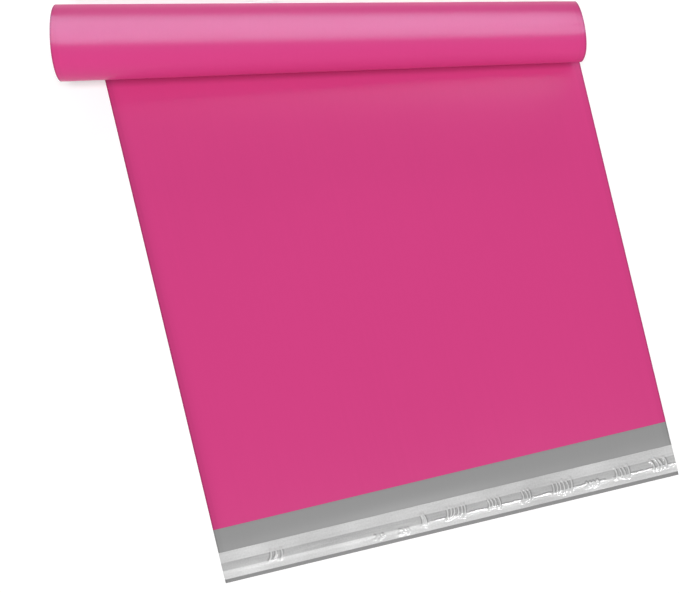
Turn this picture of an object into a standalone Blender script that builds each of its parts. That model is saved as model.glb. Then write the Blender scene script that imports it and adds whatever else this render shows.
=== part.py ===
"""Film mailing bag lying open on a table, with its closed end rolled up over the front panel.

The bag is one film: folded at the closed end, welded down both sides and open at the mouth, where
the back panel runs on as the flap. The flap carries a ribbon of adhesive under a release liner.
Each piece is modelled flat, as it leaves the bag machine. The bag is then creased along the
straight lines of a slightly conical roll and turned at each crease, as film rolls up.

Metres. X runs along the line where the roll leaves the table, Y from the flap towards the roll and
Z up. The origin is on the table, at the middle of the part's footprint.
"""

import math

import bmesh
import bpy
import numpy as np
from mathutils import Matrix

# The bag, measured flat
BAG_WIDTH = 0.350
BAG_LENGTH = 0.520  # mouth to closed end
FLAP_LENGTH = 0.041  # mouth to the flap's free edge
FILM_THICKNESS = 0.00006
POCKET_GAP = 0.0003  # air between the two panels
WELD_WIDTH = 0.003  # each side weld
WELD_MARGIN = 0.001  # free film outside each side weld
FOLD_STEPS = 4  # facets round the fold at the closed end

# The closure, across the flap from its free edge
FLAP_EDGE = 0.0028  # bare film outside the liner
LINER_LIP = 0.0064  # liner from its outer edge to the adhesive
ADHESIVE_WIDTH = 0.0060
LINER_TAB = 0.0080  # liner from the adhesive to its inner edge
LINER_RAMP = 0.0010  # run over which the liner climbs onto the adhesive
ADHESIVE_THICKNESS = 0.00012
LINER_THICKNESS = 0.00005
SEAT_GAP = 0.0003  # clearance under each piece that lies on another

# The roll
FLAT_LENGTH = 0.373  # flap's edge to the roll line, down the middle of the bag
ROLL_SKEW = math.radians(12.0)  # roll line against the mouth
ROLL_RADIUS = 0.0255  # outer turn, at the middle of the roll line
ROLL_TAPER = math.radians(0.9)  # between the roll's side and its axis
TURN_GAP = 0.0018  # air between one turn and the next
CREASE_TURN = math.radians(5.0)  # turn of the film at each crease
ROLL_OVERHANG = 0.025  # roll's left end beyond the side of the bag
EASE_LENGTH = 0.040  # film past the roll line over which the bag's sides come square to the roll

# Worked out from the sizes above
BAG_THICKNESS = 2 * FILM_THICKNESS + POCKET_GAP
FILM_LENGTH = FLAP_LENGTH + BAG_LENGTH
FOLD_CENTRE = FILM_LENGTH - BAG_THICKNESS / 2
WELD_PLACE = BAG_WIDTH / 2 - WELD_MARGIN - WELD_WIDTH / 2  # from the bag's middle line
ADHESIVE_START = FLAP_EDGE + LINER_LIP
ADHESIVE_END = ADHESIVE_START + ADHESIVE_WIDTH
TIP_DISTANCE = ROLL_RADIUS / math.tan(ROLL_TAPER)
TIP = np.array((TIP_DISTANCE, 0.0, 0.0))  # where the creases meet, from the middle of the roll line
TAPER_LOSS = (BAG_THICKNESS + TURN_GAP) / math.tau / TIP_DISTANCE  # for each radian of turn
ON_CREASE = 1e-6  # distance and angle within which a point counts as on a crease
FLAT_ANGLE = math.radians(0.5)  # below it, faces are one plane
SMOOTH_ANGLE = math.radians(30.0)  # above it, an edge stays sharp

# Colours, linear
PINK = (0.651, 0.058, 0.231)
GREY = (0.300, 0.300, 0.300)
ADHESIVE_GREY = (0.470, 0.470, 0.470)
LINER_SILVER = (0.640, 0.640, 0.640)


def clear_scene():
    """Removes whatever the scene holds."""
    for item in list(bpy.data.objects):
        bpy.data.objects.remove(item)


def new_collection(name):
    """A collection in the scene."""
    collection = bpy.data.collections.new(name)
    bpy.context.scene.collection.children.link(collection)
    return collection


def finish(name, colour, roughness):
    """A Principled material of one colour."""
    material = bpy.data.materials.new(name)
    material.use_nodes = True
    shader = material.node_tree.nodes["Principled BSDF"]
    shader.inputs["Base Color"].default_value = (*colour, 1.0)
    shader.inputs["Roughness"].default_value = roughness
    shader.inputs["Metallic"].default_value = 0.0
    return material


def evaluated_mesh(item):
    """The object's mesh after its modifiers, with its own place applied."""
    bpy.context.view_layer.update()
    graph = bpy.context.evaluated_depsgraph_get()
    mesh = bpy.data.meshes.new_from_object(item.evaluated_get(graph))
    mesh.transform(item.matrix_world)
    return mesh


def across_bag(name, section, width, material, collection):
    """A lengthwise section, as (length, height), extruded across the bag into a mesh object.

    A section that ends where it starts becomes a solid, and any other an open sheet.
    """
    closed = section[0] == section[-1]
    corners = section[:-1] if closed else section
    curve = bpy.data.curves.new(name, "CURVE")
    curve.dimensions = "2D"
    curve.fill_mode = "BOTH" if closed else "NONE"
    curve.extrude = width / 2
    spline = curve.splines.new("POLY")
    spline.points.add(len(corners) - 1)
    for point, (length, height) in zip(spline.points, corners):
        point.co = (length, height, 0.0, 1.0)
    spline.use_cyclic_u = closed
    drawn = bpy.data.objects.new(name, curve)
    # The curve's x, y and z become the bag's length, height and width.
    drawn.rotation_euler = (math.pi / 2, 0.0, math.pi / 2)
    bpy.context.scene.collection.objects.link(drawn)
    mesh = evaluated_mesh(drawn)
    bpy.data.objects.remove(drawn)
    bm = bmesh.new()
    bm.from_mesh(mesh)
    bmesh.ops.remove_doubles(bm, verts=bm.verts, dist=LINER_THICKNESS / 10)
    bmesh.ops.dissolve_limit(bm, angle_limit=FLAT_ANGLE, verts=bm.verts, edges=bm.edges)
    bmesh.ops.recalc_face_normals(bm, faces=bm.faces)
    bm.to_mesh(mesh)
    bm.free()
    mesh.materials.append(material)
    item = bpy.data.objects.new(name, mesh)
    collection.objects.link(item)
    return item


def solidify(item, thickness, offset):
    """Gives an open sheet its thickness, on the side that the offset says: 1 for its front."""
    shell = item.modifiers.new("Thickness", "SOLIDIFY")
    shell.thickness = thickness
    shell.offset = offset
    shell.use_even_offset = True
    return shell


def round_fold(depth):
    """Section of the closed end from the back panel to the front, at a depth inside the film."""
    radius = BAG_THICKNESS / 2 - depth
    turns = [math.pi * step / FOLD_STEPS for step in range(FOLD_STEPS + 1)]
    return [
        (FOLD_CENTRE + radius * math.sin(turn), BAG_THICKNESS / 2 - radius * math.cos(turn))
        for turn in turns
    ]


def flat_bag(pink, grey, helpers):
    """The bag laid flat: one folded film, from the flap's edge round to the mouth, and its welds."""
    film = [(0.0, 0.0), *round_fold(0.0), (FLAP_LENGTH, BAG_THICKNESS)]
    bag = across_bag("flat_bag", film, BAG_WIDTH, pink, helpers)
    bag.data.materials.append(grey)
    shell = solidify(bag, FILM_THICKNESS, -1.0)
    shell.material_offset = 1
    # Each weld reaches half-way into both panels.
    sunk = FILM_THICKNESS / 2
    start = FLAP_LENGTH + WELD_MARGIN
    weld = [(start, sunk), *round_fold(sunk), (start, BAG_THICKNESS - sunk), (start, sunk)]
    for side, place in (("left", -WELD_PLACE), ("right", WELD_PLACE)):
        bar = across_bag(f"{side}_weld", weld, WELD_WIDTH, grey, helpers)
        bar.location.x = place
        join = bag.modifiers.new(f"Weld {side}", "BOOLEAN")
        join.operation = "UNION"
        join.material_mode = "TRANSFER"
        join.object = bar
    for helper in helpers.objects:
        helper.hide_render = True
        helper.display_type = "WIRE"
    return bag


def roll_creases(last):
    """Creases of the roll, as (angle at the tip from the roll line, turn), as far as the last angle.

    The film's distance from the roll's axis shrinks evenly as it turns, so that successive turns
    lie side by side at one pitch. The first crease has half a turn, which puts the corners of the
    facets on the curve.
    """
    creases = [(0.0, CREASE_TURN / 2)]
    taper = ROLL_TAPER
    while creases[-1][0] < last:
        creases.append((creases[-1][0] + math.sin(taper) * CREASE_TURN, CREASE_TURN))
        taper -= TAPER_LOSS * CREASE_TURN
    return creases


def turned(points, angle, turn):
    """Points, measured from the tip, after a turn about the crease at the angle."""
    axis = np.array((math.cos(angle), -math.sin(angle), 0.0))
    along = np.outer(points @ axis, axis)
    return along + (points - along) * math.cos(turn) + np.cross(axis, points) * math.sin(turn)


def eased(points):
    """Flat points, measured from the tip, slid along their creases until the sides are square."""
    to_bag = np.array((math.cos(ROLL_SKEW), math.sin(ROLL_SKEW), 0.0))
    across = (points + TIP) @ to_bag
    past_line = np.clip(points[:, 1] / EASE_LENGTH, 0.0, 1.0)
    share = past_line**2 * (3 - 2 * past_line)
    square = TIP_DISTANCE - across / math.cos(ROLL_SKEW)
    square += ROLL_OVERHANG * (1 / 2 - across / BAG_WIDTH)
    reach = np.hypot(points[:, 0], points[:, 1])
    slide = 1 + share * (square / reach - 1)
    return points * np.column_stack((slide, slide, np.ones_like(slide)))


def roll_up(mesh):
    """Creases the flat film along lines through the tip, then turns what lies beyond each one."""
    bm = bmesh.new()
    bm.from_mesh(mesh)
    flat = np.array([vert.co for vert in bm.verts]) - TIP
    creases = roll_creases(np.arctan2(flat[:, 1], -flat[:, 0]).max())
    for angle, _ in creases:
        bmesh.ops.bisect_plane(
            bm,
            geom=[*bm.verts, *bm.edges, *bm.faces],
            dist=ON_CREASE,
            plane_co=TIP,
            plane_no=(math.sin(angle), math.cos(angle), 0.0),
        )
    bmesh.ops.triangulate(bm, faces=bm.faces)
    placed = eased(np.array([vert.co for vert in bm.verts]) - TIP)
    ruling = np.arctan2(placed[:, 1], -placed[:, 0])
    for angle, turn in reversed(creases):
        beyond = ruling > angle + ON_CREASE
        on_crease = np.abs(ruling - angle) <= ON_CREASE
        placed[beyond] = turned(placed[beyond], angle, turn)
        placed[on_crease] = turned(placed[on_crease], angle, turn / 2)
    for vert, place in zip(bm.verts, placed + TIP):
        vert.co = place
    bm.to_mesh(mesh)
    bm.free()


def make_bag(place, pink, grey, collection, helpers):
    """The bag, pink outside and grey inside, set in its place on the table and rolled up."""
    mesh = evaluated_mesh(flat_bag(pink, grey, helpers))
    mesh.transform(place)
    roll_up(mesh)
    mesh.shade_smooth()
    mesh.set_sharp_from_angle(angle=SMOOTH_ANGLE)
    bag = bpy.data.objects.new("bag", mesh)
    collection.objects.link(bag)
    return bag


def make_adhesive(material, collection):
    """The ribbon of adhesive across the flap."""
    bottom = FILM_THICKNESS + SEAT_GAP
    top = bottom + ADHESIVE_THICKNESS
    ribbon = [
        (ADHESIVE_START, bottom),
        (ADHESIVE_END, bottom),
        (ADHESIVE_END, top),
        (ADHESIVE_START, top),
        (ADHESIVE_START, bottom),
    ]
    return across_bag("adhesive_strip", ribbon, BAG_WIDTH, material, collection)


def make_liner(material, collection):
    """The release liner: flat on the flap at its lip and tab, and raised over the adhesive."""
    low = FILM_THICKNESS + SEAT_GAP
    high = low + ADHESIVE_THICKNESS + SEAT_GAP
    clear = ADHESIVE_START - SEAT_GAP
    clear_end = ADHESIVE_END + SEAT_GAP
    sheet = [
        (FLAP_EDGE, low),
        (clear - LINER_RAMP, low),
        (clear, high),
        (clear_end, high),
        (clear_end + LINER_RAMP, low),
        (ADHESIVE_END + LINER_TAB, low),
    ]
    liner = across_bag("release_liner", sheet, BAG_WIDTH, material, collection)
    solidify(liner, LINER_THICKNESS, 1.0)
    return liner


def new_frame(name, matrix, parent=None):
    """An empty that carries other objects."""
    frame = bpy.data.objects.new(name, None)
    frame.parent = parent
    frame.matrix_basis = matrix
    bpy.context.scene.collection.objects.link(frame)
    return frame


def build():
    """Makes the part."""
    clear_scene()
    helpers = new_collection("cutters")
    parts = new_collection("film_mailing_bag")
    pink = finish("pink film", PINK, 0.38)
    grey = finish("grey film", GREY, 0.45)
    to_flap = (FLAT_LENGTH * math.sin(ROLL_SKEW), -FLAT_LENGTH * math.cos(ROLL_SKEW), 0.0)
    laid_flat = Matrix.Translation(to_flap) @ Matrix.Rotation(ROLL_SKEW, 4, "Z")
    bag = make_bag(laid_flat, pink, grey, parts, helpers)
    adhesive = make_adhesive(finish("adhesive", ADHESIVE_GREY, 0.3), parts)
    liner = make_liner(finish("release liner", LINER_SILVER, 0.25), parts)
    corners = np.array([vert.co for vert in bag.data.vertices])
    middle = (corners.min(axis=0) + corners.max(axis=0)) / 2
    table = new_frame("table", Matrix.Translation((-middle[0], -middle[1], 0.0)))
    flap = new_frame("flap", laid_flat, table)
    bag.parent = table
    adhesive.parent = flap
    liner.parent = flap


if __name__ == "__main__":
    build()
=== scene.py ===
"""Looks of a film mailing bag that lies on a table with its closed end rolled up.

The bag's film, the ribbon of adhesive on its flap and the release liner over that are modelled
here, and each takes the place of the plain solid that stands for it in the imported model.

Metres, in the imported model's frame: X along the line where the roll leaves the table, Y from the
flap towards the roll and Z up, with the table at zero. Distances across the bag are taken from
its middle line, and distances along it from the flap's free edge.
"""

import logging
import math
from collections.abc import Callable
from dataclasses import dataclass
from enum import Enum
from typing import Any

import bpy
from mathutils import Matrix, Vector


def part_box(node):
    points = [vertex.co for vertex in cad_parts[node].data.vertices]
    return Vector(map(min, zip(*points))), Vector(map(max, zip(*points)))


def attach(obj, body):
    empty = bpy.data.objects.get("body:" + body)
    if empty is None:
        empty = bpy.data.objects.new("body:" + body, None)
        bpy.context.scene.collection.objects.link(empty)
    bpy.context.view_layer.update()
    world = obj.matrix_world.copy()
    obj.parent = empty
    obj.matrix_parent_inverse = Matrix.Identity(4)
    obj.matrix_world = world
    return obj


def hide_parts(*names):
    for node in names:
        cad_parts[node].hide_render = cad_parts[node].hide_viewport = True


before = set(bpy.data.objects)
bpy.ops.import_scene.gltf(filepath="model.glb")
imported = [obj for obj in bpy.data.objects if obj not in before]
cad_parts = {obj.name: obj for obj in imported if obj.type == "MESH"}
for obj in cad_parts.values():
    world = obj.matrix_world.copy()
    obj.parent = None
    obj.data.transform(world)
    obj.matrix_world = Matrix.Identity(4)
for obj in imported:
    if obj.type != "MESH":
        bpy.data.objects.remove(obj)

LOG = logging.getLogger("film_bag")
BAG_MAP = "bag_map"  # UV map of every piece: distance across the bag and distance along its film
LIFT = "lift"  # attribute of the liner: how far it stands off the adhesive, from 0 to 1
ROLLED = "rolled"  # attribute of the bag: 1 in the roll and 0 where it lies flat
SEAT_GAP = 0.00001  # clearance under a piece that lies on another
SHARP_ANGLE = math.radians(40.0)  # above it, an edge stays crisp
SHADES = (0.6, 1.3)  # brightnesses between which a colour is mixed
Colour = tuple[float, float, float]
Socket = bpy.types.NodeSocket


def maths(operation: str, swapped: bool = False) -> Callable[..., "Term"]:
    """Makes a method of Term that adds a Math node.

    Args:
        operation: What the node works out.
        swapped: Whether the term itself comes last among the node's inputs.

    Returns:
        The method.
    """

    def method(term: "Term", *others: "Term | float") -> "Term":
        """Adds the node and gives its result."""
        values = (*others, term) if swapped else (term, *others)
        return term.graph.math(operation, *values)

    return method


class Term:
    """A number in a node tree. An operator on it adds a Math node and gives that node's result."""

    __add__ = maths("ADD")
    __radd__ = maths("ADD", swapped=True)
    __sub__ = maths("SUBTRACT")
    __rsub__ = maths("SUBTRACT", swapped=True)
    __mul__ = maths("MULTIPLY")
    __rmul__ = maths("MULTIPLY", swapped=True)
    __truediv__ = maths("DIVIDE")
    __rtruediv__ = maths("DIVIDE", swapped=True)
    sine = maths("SINE")
    cosine = maths("COSINE")
    root = maths("SQRT")
    size = maths("ABSOLUTE")  # the number without its sign
    at_least = maths("MAXIMUM")
    at_most = maths("MINIMUM")

    def __init__(self, graph: "Graph", socket: Socket) -> None:
        """Wraps an output socket that gives one number."""
        self.graph = graph
        self.socket = socket

    def __neg__(self) -> "Term":
        """Negative."""
        return self * -1.0

    def share(self) -> "Term":
        """The number, held between 0 and 1."""
        return self.at_least(0.0).at_most(1.0)

    def ease(self, start: "Term | float", end: "Term | float") -> "Term":
        """Rises smoothly from 0 at the start to 1 at the end."""
        reached = ((self - start) / (end - start)).share()
        return reached * reached * (3.0 - 2.0 * reached)

    def hump(self, middle: "Term | float", reach: "Term | float") -> "Term":
        """A bell that is 1 at the middle, and about a third at its reach from there."""
        away = (self - middle) / reach
        return self.graph.math("EXPONENT", -(away * away))


class Graph:
    """A node tree that is filled by calls."""

    def __init__(self, tree: bpy.types.NodeTree) -> None:
        """Takes a shader tree or a Geometry Nodes tree."""
        self.tree = tree

    @staticmethod
    def socket(sockets: Any, key: str | int) -> Socket:
        """Finds a socket.

        Args:
            sockets: A node's inputs or outputs.
            key: The socket's number or name. Of several with one name, the one in use counts.

        Returns:
            The socket.
        """
        if isinstance(key, int):
            return sockets[key]
        return next(found for found in sockets if found.name == key and found.enabled)

    def feed(self, socket: Socket, value: Any) -> None:
        """Gives an input its value or links.

        Args:
            socket: The input.
            value: A plain value, a term, an output socket, or a list of output sockets.
        """
        for source in value if isinstance(value, list) else [value]:
            if isinstance(source, Term):
                source = source.socket
            if isinstance(source, Socket):
                self.tree.links.new(source, socket)
            else:
                socket.default_value = source

    def node(
        self,
        kind: str,
        settings: dict[str, Any] | None = None,
        inputs: dict[str | int, Any] | None = None,
    ) -> bpy.types.Node:
        """Adds a node.

        Args:
            kind: The node's type.
            settings: Its settings, which are set first.
            inputs: Values or links for its sockets, by name or number.

        Returns:
            The node.
        """
        made = self.tree.nodes.new(kind)
        for name, value in (settings or {}).items():
            setattr(made, name, value)
        for key, value in (inputs or {}).items():
            self.feed(self.socket(made.inputs, key), value)
        return made

    def output(
        self,
        kind: str,
        settings: dict[str, Any] | None = None,
        inputs: dict[str | int, Any] | None = None,
        key: str | int = 0,
    ) -> Socket:
        """Adds a node and gives one of its outputs, by number or name."""
        return self.socket(self.node(kind, settings, inputs).outputs, key)

    def math(self, operation: str, *values: "Term | float") -> Term:
        """Adds a Math node and gives its result."""
        made = self.output("ShaderNodeMath", {"operation": operation}, dict(enumerate(values)))
        return Term(self, made)

    def vector(self, *parts: "Term | float") -> Socket:
        """Puts up to three numbers together as a vector."""
        return self.output("ShaderNodeCombineXYZ", None, dict(enumerate(parts)))

    def parts(self, vector: Socket) -> list[Term]:
        """Takes a vector apart into its three numbers."""
        made = self.node("ShaderNodeSeparateXYZ", None, {0: vector})
        return [Term(self, socket) for socket in made.outputs]

    def noise(self, place: Socket, scale: float, detail: float) -> Term:
        """Adds a noise texture.

        Args:
            place: Where the texture is read.
            scale: Blotches a metre.
            detail: Octaves of finer noise.

        Returns:
            The noise, between -1 and 1 and mostly near 0.
        """
        made = self.output(
            "ShaderNodeTexNoise", None, {"Vector": place, "Scale": scale, "Detail": detail}
        )
        return Term(self, made) * 2.0 - 1.0

    def tint(self, amount: "Term | float", first: Any, second: Any) -> Socket:
        """Mixes two colours.

        Args:
            amount: Share of the second colour.
            first: A colour, or a socket that gives one.
            second: The other colour.

        Returns:
            The mixed colour.
        """
        pair = {"A": first, "B": second}
        for key, colour in pair.items():
            if isinstance(colour, tuple):
                pair[key] = (*colour, 1.0)
        settings = {"data_type": "RGBA"}
        return self.output("ShaderNodeMix", settings, {0: amount, **pair}, "Result")

    def shaded(self, colour: Colour, shade: Term) -> Socket:
        """Makes a colour lighter or darker.

        Args:
            colour: The colour.
            shade: Its brightness, within SHADES.

        Returns:
            The colour at that brightness.
        """
        low, high = SHADES
        dark, light = (tuple(end * part for part in colour) for end in SHADES)
        return self.tint((shade - low) / (high - low), dark, light)


class ShapeTree(Graph):
    """A Geometry Nodes tree with named inputs, which makes one piece."""

    def __init__(self, name: str, sizes: dict[str, float | int]) -> None:
        """Starts a tree.

        Args:
            name: The tree's name.
            sizes: Its inputs and their values. A whole number becomes a count.
        """
        super().__init__(bpy.data.node_groups.new(name, "GeometryNodeTree"))
        face = self.tree.interface
        face.new_socket("Geometry", in_out="OUTPUT", socket_type="NodeSocketGeometry")
        self.values = {}
        for label, value in sizes.items():
            kind = "NodeSocketInt" if isinstance(value, int) else "NodeSocketFloat"
            made = face.new_socket(label, in_out="INPUT", socket_type=kind)
            self.values[made.identifier] = value
        self.entry = self.tree.nodes.new("NodeGroupInput")

    def get(self, label: str) -> Term:
        """The named input."""
        return Term(self, self.entry.outputs[label])

    def grid(self, columns: Term, rows: Term) -> tuple[Socket, Term, Term]:
        """Starts from a flat grid, one metre square.

        Args:
            columns: Count of faces across.
            rows: Count of faces along.

        Returns:
            The grid, each point's place across it from -1 to 1, and along it from 0 to 1.
        """
        inputs = {"Size X": 2.0, "Vertices X": columns + 1.0, "Vertices Y": rows + 1.0}
        made = self.output("GeometryNodeMeshGrid", None, inputs)
        across, along, _ = self.parts(self.output("GeometryNodeInputPosition"))
        return made, across, along + 0.5

    def place(self, geometry: Socket, key: str, value: Any) -> Socket:
        """Moves a geometry's points to a Position, or by an Offset."""
        return self.output("GeometryNodeSetPosition", None, {"Geometry": geometry, key: value})

    def store(
        self, geometry: Socket, name: str, value: Any, kind: str, domain: str
    ) -> Socket:
        """Stores an attribute.

        Args:
            geometry: What it is stored on.
            name: Its name.
            value: Its value.
            kind: Its data type.
            domain: What carries it: points or face corners.

        Returns:
            The geometry with its attribute.
        """
        settings = {"data_type": kind, "domain": domain}
        inputs = {"Geometry": geometry, "Name": name, "Value": value}
        return self.output("GeometryNodeStoreNamedAttribute", settings, inputs)

    def make(
        self, name: str, geometry: Socket, material: bpy.types.Material
    ) -> bpy.types.Object:
        """Ends the tree and runs it.

        Args:
            name: Name of the piece.
            geometry: What the tree has made.
            material: The piece's finish.

        Returns:
            The piece, as a plain mesh.
        """
        smooth = self.output("GeometryNodeSetShadeSmooth", None, {"Geometry": geometry})
        plain = self.output("GeometryNodeRealizeInstances", None, {"Geometry": smooth})
        inputs = {"Geometry": plain, "Material": material}
        dressed = self.output("GeometryNodeSetMaterial", None, inputs)
        self.node("NodeGroupOutput", None, {"Geometry": dressed})
        piece = bpy.data.objects.new(name, bpy.data.meshes.new(name))
        modifier = piece.modifiers.new("Shape", "NODES")
        modifier.node_group = self.tree
        for identifier, value in self.values.items():
            modifier[identifier] = value
        bpy.context.scene.collection.objects.link(piece)
        settle(piece)
        # The grid brings an empty slot of its own.
        mesh = piece.data
        mesh.materials.clear()
        mesh.materials.append(material)
        mesh.polygons.foreach_set("material_index", [0] * len(mesh.polygons))
        return piece


def thicken(piece: bpy.types.Object, thickness: float, offset: float, inside: int = 0) -> None:
    """Gives a sheet its thickness.

    Args:
        piece: The sheet.
        thickness: Its thickness.
        offset: Side that it grows to: 1 for its front and -1 for its back.
        inside: Steps from the front's material slot to the back's.
    """
    shell = piece.modifiers.new("Thickness", "SOLIDIFY")
    shell.thickness = thickness
    shell.offset = offset
    shell.use_even_offset = True
    shell.material_offset = inside
    shell.material_offset_rim = inside
    settle(piece)
    # The cut edges stay crisp, so that no shading runs from them into the sheet.
    piece.data.set_sharp_from_angle(angle=SHARP_ANGLE)


def settle(piece: bpy.types.Object) -> None:
    """Turns what a piece's modifiers make into its plain mesh, and removes them."""
    bpy.context.view_layer.update()
    shaped = piece.evaluated_get(bpy.context.evaluated_depsgraph_get())
    mesh = bpy.data.meshes.new_from_object(shaped)
    piece.modifiers.clear()
    piece.data = mesh


@dataclass(frozen=True)
class BagSizes:
    """Sizes of the bag laid flat.

    Attributes:
        width: Side to side.
        length: Mouth to closed end.
        flap: Mouth to the flap's free edge.
        film: Thickness of the film.
        pocket: Air between the panels.
        pillow: Extra air between the panels in the middle of the bag.
        pillow_ends: How far from the mouth and from the roll the pillow is full.
        margin: Free film outside each side weld.
        weld: Width of each side weld.
        swell: Width beside each weld over which the front panel rises.
    """

    width: float = 0.350
    length: float = 0.520
    flap: float = 0.041
    film: float = 0.00006
    pocket: float = 0.0003
    pillow: float = 0.0007
    pillow_ends: tuple[float, float] = (0.12, 0.10)
    margin: float = 0.001
    weld: float = 0.003
    swell: float = 0.011

    @property
    def thickness(self) -> float:
        """Both panels and the air between them."""
        return 2 * self.film + self.pocket

    @property
    def fold(self) -> float:
        """Flap's free edge to the middle of the fold at the closed end."""
        return self.flap + self.length - self.thickness / 2

    @property
    def unfolded(self) -> float:
        """Length of the film when the bag is cut open and laid out in one layer."""
        return self.flap + 2 * self.length


@dataclass(frozen=True)
class ClosureSizes:
    """Bands of the closure, across the flap from its free edge.

    Attributes:
        edge: Bare film outside the liner.
        lip: Liner from its outer edge to the adhesive.
        adhesive: Width of the adhesive.
        tab: Liner from the adhesive to its inner edge.
        ribbon: Thickness of the adhesive.
        liner: Thickness of the liner.
    """

    edge: float = 0.0028
    lip: float = 0.0064
    adhesive: float = 0.0060
    tab: float = 0.0080
    ribbon: float = 0.00009
    liner: float = 0.00005

    @property
    def start(self) -> float:
        """Flap's free edge to the adhesive."""
        return self.edge + self.lip

    @property
    def end(self) -> float:
        """Flap's free edge to the far side of the adhesive."""
        return self.start + self.adhesive

    @property
    def width(self) -> float:
        """Width of the liner."""
        return self.lip + self.adhesive + self.tab


@dataclass(frozen=True)
class RollSizes:
    """How the closed end is rolled up.

    The plain solid's left end stands 2.2 mm further out, and its right end has the left's easing
    and an inner turn that lies no deeper. Here the roll's outline is followed more closely.

    Attributes:
        flat: Flap's free edge to the roll line, down the middle of the bag.
        skew: Angle of the roll line against the mouth.
        radius: Outer turn, at the middle of the roll line.
        taper: Angle between the roll's side and its axis.
        gap: Air between one turn and the next.
        overhang: How far the roll's left end stands beyond the side of the bag.
        easing: Film past the roll line over which the bag's left side comes square to the roll.
        easing_right: The same on its right side.
        telescoped: How much deeper the inner turn lies in the roll's right end.
        inner_turn: Film past the roll line from which, and to which, that depth grows.
    """

    flat: float = 0.373
    skew: float = math.radians(12.0)
    radius: float = 0.0255
    taper: float = math.radians(0.9)
    gap: float = 0.0018
    overhang: float = 0.0228
    easing: float = 0.040
    easing_right: float = 0.095
    telescoped: float = 0.008
    inner_turn: tuple[float, float] = (0.11, 0.15)

    @property
    def tip(self) -> float:
        """Middle of the roll line to the tip of the cone, where every crease would meet."""
        return self.radius / math.tan(self.taper)

    def on_table(self, across: float, along: float) -> Vector:
        """A point of the flat bag on the table, measured from the middle of the roll line."""
        flat = Vector((across, along - self.flat, 0.0))
        return Matrix.Rotation(self.skew, 3, "Z") @ flat


class Finish:
    """A material with one Principled shader, and the graph that feeds it."""

    def __init__(self, name: str, constants: dict[str, Any]) -> None:
        """Starts a material.

        Args:
            name: Its name.
            constants: Values of the shader's sockets that are the same all over.
        """
        self.material = bpy.data.materials.new(name)
        self.material.use_nodes = True
        self.graph = Graph(self.material.node_tree)
        self.shader = self.material.node_tree.nodes["Principled BSDF"]
        for socket, value in constants.items():
            self.shader.inputs[socket].default_value = value
        place = self.graph.output("ShaderNodeUVMap", {"uv_map": BAG_MAP})
        self.across, self.along, _ = self.graph.parts(place)

    def set(self, socket: str, value: Any) -> None:
        """Feeds one of the shader's sockets."""
        self.graph.feed(self.shader.inputs[socket], value)

    def attribute(self, name: str) -> Term:
        """A number that is stored on the mesh."""
        made = self.graph.output("ShaderNodeAttribute", {"attribute_name": name}, None, "Fac")
        return Term(self.graph, made)

    def noise(self, across: float, along: float, scale: float, detail: float) -> Term:
        """A noise that follows the film, drawn out where it is scaled down across or along."""
        place = self.graph.vector(self.across * across, self.along * along, 0.0)
        return self.graph.noise(place, scale, detail)

    def bump(self, height: Term, distance: float) -> None:
        """Feeds the shader's normal with a relief, as a share of a depth."""
        inputs = {"Height": height, "Distance": distance, "Strength": 1.0}
        self.set("Normal", self.graph.output("ShaderNodeBump", None, inputs, "Normal"))


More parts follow.
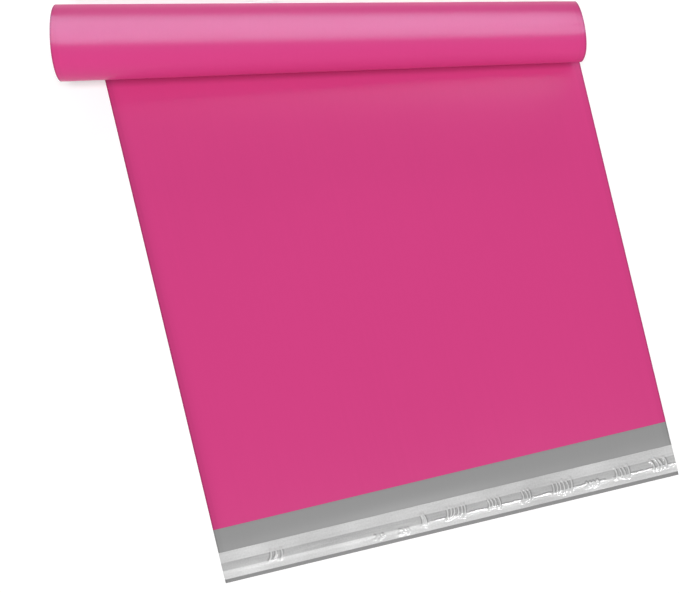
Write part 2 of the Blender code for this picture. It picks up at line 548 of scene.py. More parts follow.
@dataclass(frozen=True)
class FilmFinish:
    """Satin blown film.

    Attributes:
        name: Name of the material.
        colour: Its colour.
        gloss: Strength of its reflection, where 0.5 is plain plastic.
        painted_margin_shade: How much darker the left margin is at the bag's side, a painted
            shade.
        haze: How much lighter the film is beside the liner.
        painted_edge_shadow: How much darker the strip between the liner and the flap's edge is, a
            painted shadow.
        painted_cut_shade: How much darker the cut edges are, a painted shade.
        weld_shade: How much darker the side welds are.
        roughness: How far its gloss spreads.
        margin: Width of that painted shade along the left side.
        haze_band: Middle of the haze from the flap's free edge, and its reach to either side.
        haze_peak: Where it is strongest, from the bag's middle line, and its reach along the flap.
        edge: Width of the strip along the flap's edge.
        cut: Width of the painted dark line along the cut sides.
        mouth: Width of the fainter one along the mouth.
        blur: Width over which an edge of these bands fades.
    """

    name: str
    colour: Colour
    gloss: float
    painted_margin_shade: float = 0.0
    haze: float = 0.0
    painted_edge_shadow: float = 0.0
    painted_cut_shade: float = 0.32
    weld_shade: float = 0.03
    roughness: float = 0.38
    margin: float = 0.0135
    haze_band: tuple[float, float] = (0.0232, 0.0062)
    haze_peak: tuple[float, float] = (-0.02, 0.075)
    edge: float = 0.0028
    cut: float = 0.0016
    mouth: float = 0.0012
    blur: float = 0.0006

    def make(self, bag: BagSizes) -> bpy.types.Material:
        """Builds the material.

        Args:
            bag: The bag that it is for.

        Returns:
            The material.
        """
        finish = Finish(self.name, {"Specular IOR Level": self.gloss, "IOR": 1.5})
        graph, across, along = finish.graph, finish.across, finish.along
        from_side = bag.width / 2 - across.size()
        outer = from_side.ease(bag.margin * 0.5, bag.margin)
        inner = from_side.ease(bag.margin + bag.weld, bag.margin + bag.weld * 1.3)
        weld = outer * (1.0 - inner)
        die_lines = finish.noise(1.0, 0.01, scale=420.0, detail=3.0)
        clouds = finish.noise(1.0, 0.6, scale=9.0, detail=3.0)
        flat = 1.0 - finish.attribute(ROLLED)
        # Painted shade darkens the flat part of the bag towards its left side.
        margin = (1.0 - (across + bag.width / 2) / self.margin).share() * flat
        spread = 0.30 + 0.70 * across.hump(*self.haze_peak) + 0.5 * clouds
        haze = along.hump(*self.haze_band) * spread.at_least(0.0)
        # Painted shadow on the bare strip between the liner and the flap's edge.
        outside_liner = 1.0 - along.ease(self.edge - self.blur, self.edge)
        mouth = along.ease(bag.unfolded - self.mouth, bag.unfolded - 0.0004)
        # Painted shade: a dark line along the cut sides, fainter along the mouth.
        cut = (1.0 - from_side.ease(0.0002, self.cut)).at_least(0.35 * mouth)
        shade = 1.0 + 0.015 * die_lines + 0.02 * clouds - self.weld_shade * weld
        shade = shade - self.painted_margin_shade * margin * margin + self.haze * haze
        shade = shade - self.painted_edge_shadow * outside_liner - self.painted_cut_shade * cut
        finish.set("Base Color", graph.shaded(self.colour, shade))
        finish.set("Roughness", self.roughness + 0.04 * clouds + 0.02 * die_lines - 0.06 * weld)
        grain = finish.noise(1.0, 0.5, scale=1500.0, detail=2.0)
        finish.bump(0.5 + 0.5 * grain, distance=0.000004)
        return finish.material


@dataclass(frozen=True)
class LinerFinish:
    """Silvery translucent release film.

    Attributes:
        name: Name of the material.
        colour: Its colour where it lies free.
        wetted: Its colour where it is stuck to the adhesive.
        cover: Opacity of each of its faces where it lies free.
        wetted_cover: The same where it is stuck.
        roughness: How far its gloss spreads.
        dull: Middle of a duller stretch, from the bag's middle line, and its reach along the flap.
        bright: The same for a brighter stretch beside it.
        blur: Half the width over which the sides of the adhesive fade.
    """

    name: str
    colour: Colour
    wetted: Colour
    cover: float = 0.82
    wetted_cover: float = 0.60
    roughness: float = 0.22
    dull: tuple[float, float] = (0.075, 0.024)
    bright: tuple[float, float] = (0.02, 0.03)
    blur: float = 0.0004

    def make(self, closure: ClosureSizes) -> bpy.types.Material:
        """Builds the material.

        Args:
            closure: The closure that it is for.

        Returns:
            The material.
        """
        finish = Finish(self.name, {"Specular IOR Level": 0.8, "IOR": 1.5})
        graph, across, along = finish.graph, finish.across, finish.along
        lift = finish.attribute(LIFT)
        on = along.ease(closure.start - self.blur, closure.start + self.blur)
        over = on * (1.0 - along.ease(closure.end - self.blur, closure.end + self.blur))
        stuck = over * (1.0 - lift)
        streaks = finish.noise(0.06, 1.0, scale=700.0, detail=3.0)
        patches = finish.noise(0.5, 1.0, scale=60.0, detail=3.0)
        speckle = finish.noise(1.0, 1.0, scale=800.0, detail=2.0)
        # The flanks of each pucker over the adhesive are darker: partly adhesive drawn up along
        # its foot, partly painted shade.
        drawn_up_and_shade = 4.0 * lift * (1.0 - lift) * over
        shade = 1.0 + 0.08 * streaks + 0.07 * patches + 0.15 * speckle - 0.52 * drawn_up_and_shade
        # The crests are lighter: partly the liner lifted off the adhesive, partly painted
        # highlight.
        shade = shade + 0.20 * lift * over
        broad = finish.noise(1.0, 0.3, scale=16.0, detail=2.0)
        dull = across.hump(*self.dull) - 0.5 * across.hump(*self.bright)
        free = graph.shaded(self.colour, shade + 0.30 * broad - 0.14 * dull + 0.05 * (1.0 - on))
        # Painted shade: the adhesive band darkens towards its inner side.
        painted_shade_inward = (along - closure.start) / closure.adhesive
        wet_shade = shade + 0.08 * patches + 0.08 * streaks + 0.07 - 0.16 * painted_shade_inward
        wet = graph.shaded(self.wetted, wet_shade)
        finish.set("Base Color", graph.tint(stuck, free, wet))
        finish.set("Roughness", self.roughness + 0.08 * patches + 0.05 * streaks)
        finish.set("Alpha", self.cover - (self.cover - self.wetted_cover) * stuck)
        grain = finish.noise(1.0, 1.0, scale=1400.0, detail=3.0)
        finish.bump(0.5 + 0.5 * grain, distance=0.00002)
        return finish.material


@dataclass(frozen=True)
class AdhesiveFinish:
    """Clear hot-melt adhesive over the grey film.

    Attributes:
        name: Name of the material.
        colour: Its colour where it is thick.
        thin: Its colour where it is thin.
        roughness: How far its gloss spreads.
    """

    name: str
    colour: Colour
    thin: Colour
    roughness: float

    def make(self) -> bpy.types.Material:
        """Builds the material, with the faint ribs that the slot of the coating head leaves."""
        finish = Finish(self.name, {"Specular IOR Level": 0.5, "IOR": 1.49})
        graph = finish.graph
        ribs = finish.noise(0.02, 1.0, scale=1500.0, detail=2.0)
        flow = finish.noise(0.4, 1.0, scale=120.0, detail=2.0)
        finish.set("Base Color", graph.tint((0.5 + ribs + flow).share(), self.thin, self.colour))
        finish.set("Roughness", self.roughness + 0.06 * flow)
        finish.bump(0.5 + 0.3 * ribs + 0.2 * flow, distance=0.00003)
        return finish.material


@dataclass
class FilmBag:
    """The bag: one folded film, welded down its sides and rolled up at its closed end.

    Attributes:
        bag: Sizes of the flat bag.
        roll: How it is rolled up.
        origin: Middle of the roll line.
        columns: Faces across the bag.
        flat_rows: Faces from the flap's edge, or the mouth, to the roll.
        roll_rows: Faces along each panel in the roll.
        fold_rows: Faces round the fold at the closed end.
    """

    bag: BagSizes
    roll: RollSizes
    origin: Vector
    columns: int = 96
    flat_rows: int = 44
    roll_rows: int = 120
    fold_rows: int = 6

    def build(self, outside: FilmFinish, inside: FilmFinish) -> bpy.types.Object:
        """Makes the bag.

        Args:
            outside: Finish of the film's outer face.
            inside: Finish of its inner face.

        Returns:
            The piece.
        """
        tree = ShapeTree("rolled_film_bag", self.inputs())
        rows = 2.0 * tree.get("Flat rows") + 2.0 * tree.get("Roll rows") + tree.get("Fold rows")
        grid, side, share = tree.grid(tree.get("Columns"), rows)
        # The columns are closest at the welds.
        across = tree.get("Width") / 2.0 * (side * (math.pi / 2)).sine()
        row = share * rows
        along, depth, travelled = self.film_path(tree, across, row)
        point = self.rolled(tree, across, along, depth)
        bag_map = tree.vector(across, travelled, 0.0)
        mapped = tree.store(grid, BAG_MAP, bag_map, "FLOAT2", "CORNER")
        in_roll = (tree.get("Flat rows") - row).at_least(row - rows + tree.get("Flat rows"))
        marked = tree.store(mapped, ROLLED, 1.0 - in_roll.share(), "FLOAT", "POINT")
        placed = tree.place(marked, "Position", point)
        turned = tree.output("GeometryNodeFlipFaces", None, {"Mesh": placed})
        piece = tree.make("film_bag", turned, outside.make(self.bag))
        piece.data.materials.append(inside.make(self.bag))
        piece.data.transform(Matrix.Translation(self.origin))
        thicken(piece, self.bag.film, -1.0, inside=1)
        return piece

    def inputs(self) -> dict[str, float | int]:
        """The tree's named inputs."""
        bag, roll = self.bag, self.roll
        return {
            "Width": bag.width,
            "Flap": bag.flap,
            "Fold": bag.fold,
            "Thickness": bag.thickness,
            "Pocket": bag.pocket,
            "Pillow": bag.pillow,
            "Weld side": bag.margin + bag.weld,
            "Swell": bag.swell,
            "Flat": roll.flat,
            "Skew": roll.skew,
            "Tip": roll.tip,
            "Taper": roll.taper,
            "Pitch": bag.thickness + roll.gap,
            "Overhang": roll.overhang,
            "Easing": roll.easing,
            "Easing right": roll.easing_right,
            "Telescoped": roll.telescoped,
            "Columns": self.columns,
            "Flat rows": self.flat_rows,
            "Roll rows": self.roll_rows,
            "Fold rows": self.fold_rows,
        }

    def film_path(self, tree: ShapeTree, across: Term, row: Term) -> tuple[Term, Term, Term]:
        """Follows the film up the back panel, round the fold and down the front panel.

        Args:
            tree: The tree.
            across: Distance from the bag's middle line.
            row: Count of rows from the flap's edge.

        Returns:
            Distance along the bag, height over the back panel's outer face, and distance along
            the film itself.
        """
        flat_rows, roll_rows, fold_rows = map(tree.get, ("Flat rows", "Roll rows", "Fold rows"))
        # Distance along the bag at which this line of the film reaches the roll.
        skew = tree.get("Skew")
        line = tree.get("Flat") - across * skew.sine() / skew.cosine()
        up_flat = (row / flat_rows).share()
        up_roll = ((row - flat_rows) / roll_rows).share()
        round_fold = ((row - flat_rows - roll_rows) / fold_rows).share()
        past_fold = row - flat_rows - roll_rows - fold_rows
        down_roll = (past_fold / roll_rows).share()
        down_flat = ((past_fold - roll_rows) / flat_rows).share()
        in_roll = tree.get("Fold") - line
        half_turn = round_fold * math.pi
        up = up_flat * line + up_roll * in_roll
        down = down_roll * in_roll + down_flat * (line - tree.get("Flap"))
        along = up - down + tree.get("Thickness") / 2.0 * half_turn.sine()
        # The front panel is pressed to the back one at the welds and stands off it between them.
        from_side = tree.get("Width") / 2.0 - across.size()
        risen = from_side.ease(tree.get("Weld side"), tree.get("Weld side") + tree.get("Swell"))
        mouth_end, roll_end = self.bag.pillow_ends
        from_mouth = (along - tree.get("Flap")).ease(0.0, mouth_end)
        to_roll = (line - along).ease(0.0, roll_end)
        fuller_left = 0.5 - across / tree.get("Width")
        air = tree.get("Pocket") + tree.get("Pillow") * from_mouth * to_roll * fuller_left
        height = tree.get("Thickness") - tree.get("Pocket") + air * risen
        return along, height * (1.0 - half_turn.cosine()) / 2.0, up + down

    def rolled(
        self, tree: ShapeTree, across: Term, along: Term, depth: Term
    ) -> Socket:
        """Rolls the flat bag up into a cone whose turns lie at an even pitch.

        Film past the roll line turns about the straight lines through the cone's tip. It is
        first slid along those lines until the sides of the bag are square to the roll.

        Args:
            tree: The tree.
            across: Distance from the bag's middle line.
            along: Distance from the flap's free edge.
            depth: Height over the back panel's outer face.

        Returns:
            The place, measured from the middle of the roll line.
        """
        skew, tip = tree.get("Skew"), tree.get("Tip")
        beyond = along - tree.get("Flat")
        flat_x = across * skew.cosine() - beyond * skew.sine()
        flat_y = across * skew.sine() + beyond * skew.cosine()
        to_tip = tip - flat_x
        ruling = tree.math("ARCTAN2", flat_y, to_tip).at_least(0.0)
        reach = (to_tip * to_tip + flat_y * flat_y).root()
        rightward = 0.5 + across / tree.get("Width")
        square = tip - across / skew.cosine() + tree.get("Overhang") * (1.0 - rightward)
        easing = tree.get("Easing") + rightward * (tree.get("Easing right") - tree.get("Easing"))
        square = square + tree.get("Telescoped") * rightward * flat_y.ease(*self.roll.inner_turn)
        reach = reach + flat_y.ease(0.0, easing) * (square - reach)
        # Slope of the cone, which each turn lessens by one pitch.
        slope = tree.math("TANGENT", tree.get("Taper"))
        loss = tree.get("Pitch") / math.tau / tip
        turn = (slope - (slope * slope - 2.0 * loss * ruling).root()) / loss
        sine, cosine = turn.sine(), turn.cosine()
        side_y = slope * sine - loss * (turn * sine + cosine - 1.0)
        side_z = slope * (1.0 - cosine) - loss * (sine - turn * cosine)
        unit = reach / (1.0 + side_y * side_y + side_z * side_z).root()
        on_roll = tree.vector(
            tip - unit, unit * side_y - depth * sine, unit * side_z + depth * cosine
        )
        on_table = tree.vector(flat_x, flat_y, depth)
        past_line = tree.math("GREATER_THAN", flat_y, 0.0)
        choice = {"Switch": past_line, "False": on_table, "True": on_roll}
        return tree.output("GeometryNodeSwitch", {"input_type": "VECTOR"}, choice)


@dataclass(frozen=True)
class Puckers:
    """A run of ridges across the adhesive, where the liner is bunched up.

    Attributes:
        place: Distance of its middle from the bag's middle line.
        count: Number of ridges.
        lean: Turn of the ridges from square across the flap.
        stretch: Length of the ridges against the usual.
        spacing: Distance between the ridges against the usual.
        shift: How far they lie from the middle of the adhesive, towards the mouth.
    """

    place: float
    count: int
    lean: float
    stretch: float
    spacing: float = 1.0
    shift: float = 0.0


@dataclass
class Closure:
    """The ribbon of adhesive across the flap, and its release liner.

    Attributes:
        bag: Sizes of the flat bag.
        sizes: Sizes of the closure.
        roll: How the bag is rolled up, which says where the flap is.
        origin: Middle of the roll line.
        runs: The runs of puckers in the liner.
        pitch: Distance between neighbouring puckers.
        ridge: Height of a pucker.
        bead: Height of the fold that runs along the adhesive's outer side.
        bead_slope: Angle of the fold's outer side.
        bead_inset: From the adhesive's outer side to the middle of the fold's crest.
        bead_fall: Width over which the fold drops on its other side.
        bead_waver: How far the fold strays along its crest.
        bead_start: Where the fold grows from and to its height, as shares of the bag's width
            from its middle line.
        pucker_reach: Distance from a pucker's crest at which it has dropped to about a third.
        gather_reach: The same for the stretch beside a pucker where the fold is pulled flat.
        past: How far a pucker runs past the adhesive, on its inner side and its outer side.
        bends: How far the inner end, the middle and the outer end of its crest lie aside.
        stray: How far a pucker strays from its place, across and along.
        sway: How far a pucker turns from its run.
        lengths: Least and greatest length of a pucker against its run's.
        waves: Height of the liner's long waves.
        crinkle: Height of its fine wrinkles.
        waver: How far the adhesive's sides stray.
        seed: Seed of whatever is random.
    """

    bag: BagSizes
    sizes: ClosureSizes
    roll: RollSizes
    origin: Vector
    runs: tuple[Puckers, ...]
    pitch: float = 0.0027
    ridge: float = 0.00052
    bead: float = 0.00024
    bead_slope: float = math.radians(9.0)
    bead_inset: float = 0.0002
    bead_fall: float = 0.0010
    bead_waver: float = 0.0010
    bead_start: tuple[float, float] = (-0.07, 0.01)
    pucker_reach: float = 0.00090
    gather_reach: float = 0.0017
    past: tuple[float, float] = (0.0010, 0.0020)
    bends: tuple[float, float, float] = (-0.0004, 0.0012, -0.0012)
    stray: float = 0.0004
    sway: float = 0.12
    lengths: tuple[float, float] = (0.75, 1.1)
    waves: float = 0.00006
    crinkle: float = 0.00002
    waver: float = 0.0002
    seed: int = 7

    def on_flap(self, piece: bpy.types.Object) -> None:
        """Moves a piece from the flat bag's own place to the flap."""
        corner = self.origin + self.roll.on_table(0.0, 0.0)
        turn = Matrix.Rotation(self.roll.skew, 4, "Z")
        piece.data.transform(Matrix.Translation(corner) @ turn)

    def build_adhesive(self, finish: AdhesiveFinish) -> bpy.types.Object:
        """Makes the ribbon, with the uneven sides of a melt that was laid on a moving web.

        Args:
            finish: Its finish.

        Returns:
            The piece.
        """
        sizes = {
            "Width": self.bag.width,
            "Start": self.sizes.start,
            "Ribbon": self.sizes.adhesive,
            "Base": self.bag.film + SEAT_GAP,
            "Waver": self.waver,
            "Columns": 300,
            "Rows": 10,
        }
        tree = ShapeTree("adhesive_ribbon", sizes)
        grid, side, share = tree.grid(tree.get("Columns"), tree.get("Rows"))
        across = side * tree.get("Width") / 2.0
        # Read this far apart in the noise, the two sides stray on their own.
        line = tree.vector(across, share * 0.01, 0.0)
        noise = tree.noise(line, scale=90.0, detail=3.0)
        waver = noise * tree.get("Waver") * (2.0 * share - 1.0)
        along = tree.get("Start") + share * tree.get("Ribbon") + waver
        mapped = tree.store(grid, BAG_MAP, tree.vector(across, along, 0.0), "FLOAT2", "CORNER")
        placed = tree.place(mapped, "Position", tree.vector(across, along, tree.get("Base")))
        piece = tree.make("adhesive_ribbon", placed, finish.make())
        self.on_flap(piece)
        thicken(piece, self.sizes.ribbon, 1.0)
        return piece

    def build_liner(self, finish: LinerFinish) -> bpy.types.Object:
        """Makes the liner: flat at its lip and tab, raised over the adhesive, and puckered.

        Args:
            finish: Its finish.

        Returns:
            The piece.
        """
        sizes = {
            "Width": self.bag.width,
            "Edge": self.sizes.edge,
            "Start": self.sizes.start,
            "End": self.sizes.end,
            "Liner": self.sizes.width,
            "Base": self.bag.film + 2 * SEAT_GAP,
            "Rise": self.sizes.ribbon + 2 * SEAT_GAP,
            "Ramp": 0.0032,
            "Pitch": self.pitch,
            "Ridge": self.ridge,
            "Bead": self.bead,
            "Bead slope": math.tan(self.bead_slope),
            "Columns": 760,
            "Rows": 62,
            "Seed": self.seed,
        }
        tree = ShapeTree("puckered_liner", sizes)
        grid, side, share = tree.grid(tree.get("Columns"), tree.get("Rows"))
        across = side * tree.get("Width") / 2.0
        along = tree.get("Edge") + share * tree.get("Liner")
        flat = tree.vector(across, along, 0.0)
        near = {"Geometry": self.ridge_lines(tree), "Sample Position": flat}
        edges = {"target_element": "EDGES"}
        distance = Term(tree, tree.output("GeometryNodeProximity", edges, near, "Distance"))
        height, lift = self.relief(tree, across, along, distance)
        mapped = tree.store(grid, BAG_MAP, flat, "FLOAT2", "CORNER")
        marked = tree.store(mapped, LIFT, lift, "FLOAT", "POINT")
        raised = tree.place(marked, "Position", tree.vector(across, along, height))
        piece = tree.make("release_liner_film", raised, finish.make(self.sizes))
        self.on_flap(piece)
        thicken(piece, self.sizes.liner, 1.0)
        return piece

    def ridge_lines(self, tree: ShapeTree) -> Socket:
        """Lines along the crests of the puckers.

        Args:
            tree: The tree.

        Returns:
            A mesh of bent lines, laid out on the flat flap.
        """
        middle = (tree.get("Start") + tree.get("End")) / 2.0
        pitch = tree.get("Pitch")
        reach = self.sizes.adhesive / 2
        inward, outward = self.past
        places = (reach + inward, -reach * 0.4, -reach - outward)
        stops = zip(("Start", "Middle", "End"), self.bends, places)
        bend = {name: (aside, place, 0.0) for name, aside, place in stops}
        bend["Resolution"] = 10
        ridge = tree.output("GeometryNodeCurveQuadraticBezier", None, bend)
        low, high = (-self.stray, -self.stray, 0.0), (self.stray, self.stray, 0.0)
        shortest, longest = self.lengths
        lines = []
        for number, run in enumerate(self.runs):
            step = pitch * run.spacing
            first = run.place - step * ((run.count - 1) / 2)
            line = {
                "Count": run.count,
                "Start Location": tree.vector(first, middle + run.shift, 0.0),
                "Offset": tree.vector(step, 0.0, 0.0),
            }
            points = tree.output("GeometryNodeMeshLine", None, line)
            stray = self.random(tree, "FLOAT_VECTOR", low, high, number)
            turns = (run.lean - self.sway, run.lean + self.sway)
            lean = self.random(tree, "FLOAT", *turns, number + 20)
            reaches = (run.stretch * shortest, run.stretch * longest)
            length = self.random(tree, "FLOAT", *reaches, number + 40)
            inputs = {
                "Points": tree.place(points, "Offset", stray),
                "Instance": ridge,
                "Rotation": tree.vector(0.0, 0.0, lean),
                "Scale": tree.vector(1.0, length, 1.0),
            }
            lines.append(tree.output("GeometryNodeInstanceOnPoints", None, inputs))
        joined = tree.output("GeometryNodeJoinGeometry", None, {"Geometry": lines})
        real = tree.output("GeometryNodeRealizeInstances", None, {"Geometry": joined})
        return tree.output("GeometryNodeCurveToMesh", None, {"Curve": real})

    def random(
        self, tree: ShapeTree, kind: str, low: Any, high: Any, step: int
    ) -> Socket:
        """Random values of a data type, the same in each run. The step is added to the seed."""
        inputs = {"Min": low, "Max": high, "Seed": tree.get("Seed") + float(step)}
        return tree.output("FunctionNodeRandomValue", {"data_type": kind}, inputs, "Value")

    def relief(
        self, tree: ShapeTree, across: Term, along: Term, distance: Term
    ) -> tuple[Term, Term]:
        """Height of the liner over the table, and how far it stands off the adhesive.

        Args:
            tree: The tree.
            across: Distance from the bag's middle line.
            along: Distance from the flap's free edge.
            distance: Distance from the crest of the nearest pucker.

        Returns:
            The height, and the lift from 0 to 1.
        """
        start, end, ramp = map(tree.get, ("Start", "End", "Ramp"))
        pucker = distance.hump(0.0, self.pucker_reach)
        over = along.ease(start - ramp, start) * (1.0 - along.ease(end, end + ramp))
        wobble = tree.noise(tree.vector(across, along * 0.3, 0.0), scale=160.0, detail=3.0)
        # The fold along the adhesive's outer side is low at the bag's left.
        firm = across.ease(*(tree.get("Width") * share for share in self.bead_start))
        gathered = distance.hump(0.0, self.gather_reach)
        strength = firm * (0.62 + 2.2 * wobble).share() * (1.0 - 0.8 * gathered)
        crest = start + self.bead_inset + self.bead_waver * wobble
        # Its outer slope is the same all along, so a higher fold is also a wider one.
        top = tree.get("Bead") * strength
        outer_slope = ((along - crest) * tree.get("Bead slope") + top).at_least(0.0).at_most(top)
        bead = outer_slope * (1.0 - along.ease(crest, crest + self.bead_fall))
        waves = tree.noise(tree.vector(across * 0.35, along, 1.0), scale=110.0, detail=2.0)
        crinkle = tree.noise(tree.vector(across, along, 2.0), scale=900.0, detail=2.0)
        height = tree.get("Base") + tree.get("Rise") * over + tree.get("Ridge") * pucker
        height = height + bead
        height = height + self.waves * (1.0 + waves) + self.crinkle * (1.0 + crinkle)
        return height, (pucker + bead / tree.get("Bead")).share()


class Seen(Enum):
    """What a lamp lights."""

    COLOUR = "diffuse"
    GLOSS = "glossy"


@dataclass(frozen=True)
class Softbox:
    """A rectangular lamp.

    Attributes:
        name: Its name.
        target: The point that it faces.
        offset: Its middle from that point.
        size: Its sides, along X first.
        radiance: Its brightness, where a white surface in full even light has 1.
        seen: What it lights.
        turn: Turn of the whole about Z, through its target.
        colour: Its colour.
        beam: Angle of its beam.
    """

    name: str
    target: Vector
    offset: tuple[float, float, float]
    size: tuple[float, float]
    radiance: float
    seen: Seen
    turn: float = 0.0
    colour: Colour = (1.0, 1.0, 1.0)
    beam: float = math.pi

    def build(self) -> None:
        """Hangs the lamp."""
        lamp = bpy.data.lights.new(self.name, "AREA")
        lamp.shape = "RECTANGLE"
        lamp.size, lamp.size_y = self.size
        lamp.energy = self.radiance * math.pi * lamp.size * lamp.size_y
        lamp.color = self.colour
        lamp.spread = self.beam
        # Otherwise a lamp for gloss alone also lights the colour.
        lamp.cycles.use_multiple_importance_sampling = False
        item = bpy.data.objects.new(self.name, lamp)
        offset = Vector(self.offset)
        aim = (-offset).to_track_quat("-Z", "Y").to_matrix().to_4x4()
        turn = Matrix.Rotation(self.turn, 4, "Z")
        item.matrix_world = (
            Matrix.Translation(self.target) @ turn @ Matrix.Translation(offset) @ aim
        )
        item.visible_camera = False
        item.visible_diffuse = self.seen is Seen.COLOUR
        item.visible_glossy = self.seen is Seen.GLOSS
        bpy.context.scene.collection.objects.link(item)


@dataclass(frozen=True)
class Viewpoint:
    """The camera, which looks straight down.

    Attributes:
        picture_width: Width of the picture in pixels.
        focal: Focal length in the picture's pixels.
        pixel: Size of a pixel on the table.
        roll_place: Middle of the roll line from the middle of the picture, in pixels.
        turn: Turn of the roll line in the picture.
    """

    picture_width: int = 679
    focal: float = 1100.0
    pixel: float = 0.7516e-3
    roll_place: tuple[float, float] = (-3.18, 250.1)
    turn: float = math.radians(1.5)

    def build(self, origin: Vector) -> None:
        """Sets the camera up.

        Args:
            origin: Middle of the roll line.
        """
        camera = bpy.data.cameras.new("camera")
        camera.sensor_width = 36.0
        camera.lens = self.focal / self.picture_width * camera.sensor_width
        item = bpy.data.objects.new("camera", camera)
        back = Matrix.Rotation(-self.turn, 4, "Z")
        aside = back @ (Vector((*self.roll_place, 0.0)) * self.pixel)
        up = Vector((0.0, 0.0, self.focal * self.pixel))
        item.matrix_world = Matrix.Translation(origin - aside + up) @ back
        bpy.context.scene.collection.objects.link(item)
        bpy.context.scene.camera = item


@dataclass(frozen=True)
class Studio:
    """A white table in even light.

    Attributes:
        roll: Middle of the roll.
        flap: Middle of the flap.
        skew: Turn of the flap against the roll.
        sky: Brightness of the surroundings.
        table: Colour of the table.
        glow: What the table adds to its own look, so that it is white where nothing shades it.
        lit: Distances from the middle at which the lamps' light begins to fail and is gone.
        half: Half the table's side.
        drop: How far the table lies under the bag, so that the two faces don't coincide.
    """

    roll: Vector
    flap: Vector
    skew: float
    sky: float = 0.25
    table: float = 0.80
    glow: float = 0.27
    lit: tuple[float, float] = (0.35, 1.6)
    half: float = 3.0
    drop: float = 0.0001

    def build(self) -> None:
        """Makes the table, the surroundings and the lamps."""
        self.build_table()
        self.build_sky()
        for lamp in self.lamps():
            lamp.build()

    def seen_directly(self, graph: Graph) -> Term:
        """1 for what the camera sees, itself or in gloss or glass, and 0 for other light."""
        made = graph.node("ShaderNodeLightPath")
        rays = ("Is Camera Ray", "Is Glossy Ray", "Is Transmission Ray")
        camera, glossy, through = (Term(graph, made.outputs[ray]) for ray in rays)
        return (camera + glossy + through).at_most(1.0)

    def build_table(self) -> None:
        """Lays the table under the bag. It is white to the camera and keeps the bag's shadow."""
        material = bpy.data.materials.new("white table")
        material.use_nodes = True
        material.node_tree.nodes.clear()
        graph = Graph(material.node_tree)
        colour = (self.table, self.table, self.table, 1.0)
        matt = graph.output("ShaderNodeBsdfDiffuse", None, {"Color": colour})
        x, y, _ = graph.parts(graph.output("ShaderNodeTexCoord", None, None, "Object"))
        # The lamps don't reach far, so the table makes up for it away from the bag.
        far = (x * x + y * y).root().ease(*self.lit)
        strength = self.seen_directly(graph) * (self.glow + (1.0 - self.glow) * far)
        glow = graph.output("ShaderNodeEmission", None, {"Strength": strength})
        both = graph.output("ShaderNodeAddShader", None, {0: matt, 1: glow})
        graph.node("ShaderNodeOutputMaterial", None, {"Surface": both})
        signs = ((-1, -1), (1, -1), (1, 1), (-1, 1))
        corners = [(right * self.half, up * self.half, -self.drop) for right, up in signs]
        mesh = bpy.data.meshes.new("table")
        mesh.from_pydata(corners, [], [(0, 1, 2, 3)])
        mesh.materials.append(material)
        table = bpy.data.objects.new("table", mesh)
        bpy.context.scene.collection.objects.link(table)

    def build_sky(self) -> None:
        """Surrounds the scene with even light that looks white."""
        world = bpy.data.worlds.new("surroundings")
        world.use_nodes = True
        graph = Graph(world.node_tree)
        strength = self.sky + self.seen_directly(graph) * (1.0 - self.sky)
        graph.feed(world.node_tree.nodes["Background"].inputs["Strength"], strength)
        world.node_tree.nodes["Background"].inputs["Color"].default_value = (1.0, 1.0, 1.0, 1.0)
        bpy.context.scene.world = world

    def lamps(self) -> list[Softbox]:
        """The lamps: three for the light itself, and two that show as highlights."""
        roll, flap = self.roll, self.flap
        middle = (roll + flap) / 2
        colour, gloss = Seen.COLOUR, Seen.GLOSS
        over_strip = Vector((roll.x - 0.055, roll.y + 0.0345, 0.0))
        return [
            Softbox("overhead", roll, (0.0, -0.20, 2.35), (1.0, 0.5), 15.3, colour),
            Softbox("front", middle, (0.0, -4.14, 3.46), (3.15, 1.8), 7.8, colour),
            Softbox("behind_roll", roll, (0.0, 0.22, 0.10), (0.6, 0.08), 2.2, colour),
            Softbox(
                "roll_strip", over_strip, (0.0, 0.0, 0.075), (0.49, 0.094), 14.2, gloss,
                turn=-0.015, colour=(0.68, 0.95, 1.2),
            ),
            Softbox(
                "flap_strip", flap, (0.0, -0.105, 0.17), (0.62, 0.056), 3.6, gloss,
                turn=self.skew, beam=math.radians(70.0),
            ),
        ]


def dress(piece: bpy.types.Object, node: str) -> None:
    """Puts a finished piece in the place of its plain solid, and reports it.

    Args:
        piece: The piece.
        node: The solid that it stands for.
    """
    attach(piece, "root")
    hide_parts(node)
    LOG.info("%s: %d faces", piece.name, len(piece.data.polygons))


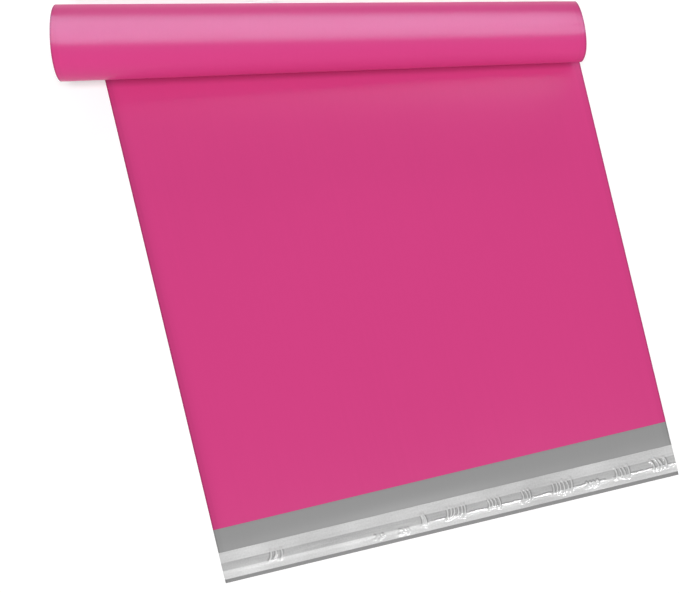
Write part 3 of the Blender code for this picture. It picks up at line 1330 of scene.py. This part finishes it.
def main() -> None:
    """Builds the bag, its closure, the studio and the camera."""
    logging.basicConfig(level=logging.INFO, format="%(name)s %(message)s")
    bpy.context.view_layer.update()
    bag, roll, closure = BagSizes(), RollSizes(), ClosureSizes()
    low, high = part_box("adhesive_strip")
    adhesive_place = roll.on_table(0.0, (closure.start + closure.end) / 2)
    origin = (low + high) / 2 - adhesive_place
    origin.z = 0.0

    pink = FilmFinish("pink film", (0.641, 0.051, 0.224), gloss=0.15, painted_margin_shade=0.17)
    grey = FilmFinish("grey film", (0.271,) * 3, gloss=0.25, haze=0.24, painted_edge_shadow=0.22)
    film_bag = FilmBag(bag, roll, origin).build(pink, grey)
    dress(film_bag, "bag")

    runs = (
        Puckers(-0.133, 3, -0.20, 0.9, spacing=1.5, shift=0.0004),
        Puckers(-0.054, 3, 0.0, 0.3, shift=-0.0050),
        Puckers(-0.035, 4, 0.0, 0.35, spacing=0.8, shift=-0.0050),
        Puckers(-0.019, 3, 0.1, 1.0, spacing=0.35),
        Puckers(0.006, 6, -0.12, 1.0),
        Puckers(0.035, 4, 0.0, 0.9),
        Puckers(0.060, 3, 0.1, 0.9),
        Puckers(0.088, 6, 0.0, 1.1),
        Puckers(0.111, 4, 0.1, 0.45, shift=-0.0032),
        Puckers(0.1345, 4, 0.1, 0.95, spacing=1.15),
        Puckers(0.1625, 4, 0.25, 1.0, spacing=1.2),
    )
    parts = Closure(bag, closure, roll, origin, runs)
    ribbon = parts.build_adhesive(AdhesiveFinish("adhesive", (0.42,) * 3, (0.52,) * 3, 0.3))
    dress(ribbon, "adhesive_strip")
    silver = LinerFinish("release liner", (0.67,) * 3, (0.58,) * 3)
    liner = parts.build_liner(silver)
    dress(liner, "release_liner")

    roll_middle = origin + Vector((0.0, 0.0, roll.radius))
    flap_middle = origin + roll.on_table(0.0, closure.start)
    Studio(roll_middle, flap_middle, roll.skew).build()
    Viewpoint().build(origin)
    bpy.context.scene.view_settings.view_transform = "Standard"


if __name__ == "__main__":
    main()
